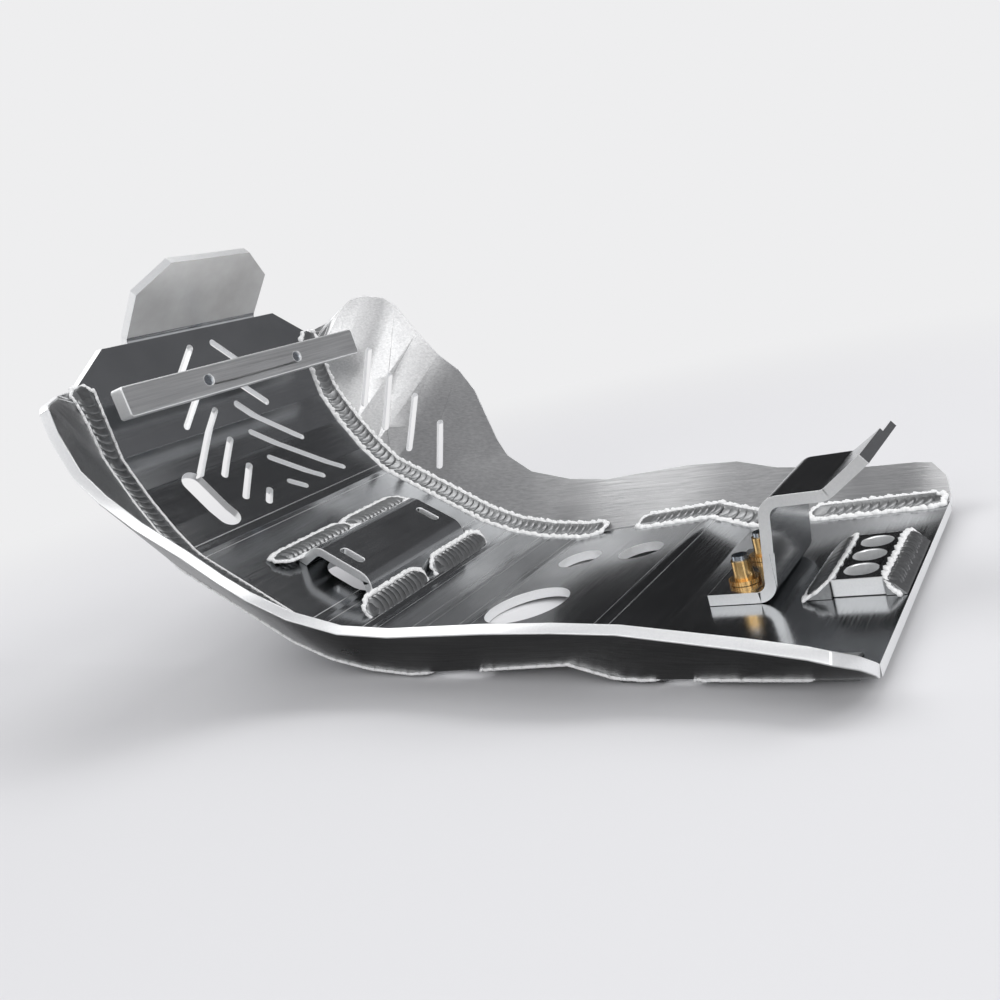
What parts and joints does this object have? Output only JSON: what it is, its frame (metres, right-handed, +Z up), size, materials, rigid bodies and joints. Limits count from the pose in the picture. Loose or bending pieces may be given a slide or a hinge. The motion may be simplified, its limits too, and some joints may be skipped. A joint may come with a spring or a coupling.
{
  "type": "motorcycle skid plate",
  "caption": "Bent aluminium skid plate with flared welded side wings, a front clamp bar, a hat bracket, a rear Z bracket and a drilled block.",
  "frame": {"origin": "bottom centre of the bounding box, to within 0.7 mm, on the plane the plate rests on", "axes": "+X to the rear of the bike, +Y to its right side, +Z up"},
  "size_m": [0.3976, 0.2996, 0.2204],
  "materials": {
    "polished_plate": "bright mill",
    "brushed_plate": "brushed",
    "weld_bead": "rippled",
    "zinc_steel": "zinc",
    "yellow_zinc": "yellow zinc"
  },
  "bodies": {
    "root": {"main_sheet": "polished_plate", "hat_bracket": "polished_plate", "z_bracket": "polished_plate", "left_wing": "brushed_plate", "right_wing": "brushed_plate", "clamp_bar": "brushed_plate", "rear_block": "brushed_plate", "weld_left_front": "weld_bead", "weld_left_middle": "weld_bead", "weld_left_rear": "weld_bead", "weld_right_front": "weld_bead", "weld_right_middle": "weld_bead", "weld_right_rear": "weld_bead", "weld_left_outer": "weld_bead", "weld_right_outer": "weld_bead", "hat_weld_front": "weld_bead", "hat_weld_rear": "weld_bead", "block_weld_front": "weld_bead", "block_weld_rear": "weld_bead", "clamp_bolt_left": "zinc_steel", "clamp_bolt_right": "zinc_steel", "clamp_washer_left": "zinc_steel", "clamp_washer_right": "zinc_steel", "z_bolt_left": "zinc_steel", "z_bolt_right": "zinc_steel", "z_nut_left": "yellow_zinc", "z_nut_right": "yellow_zinc"}
  },
  "joints": []
}
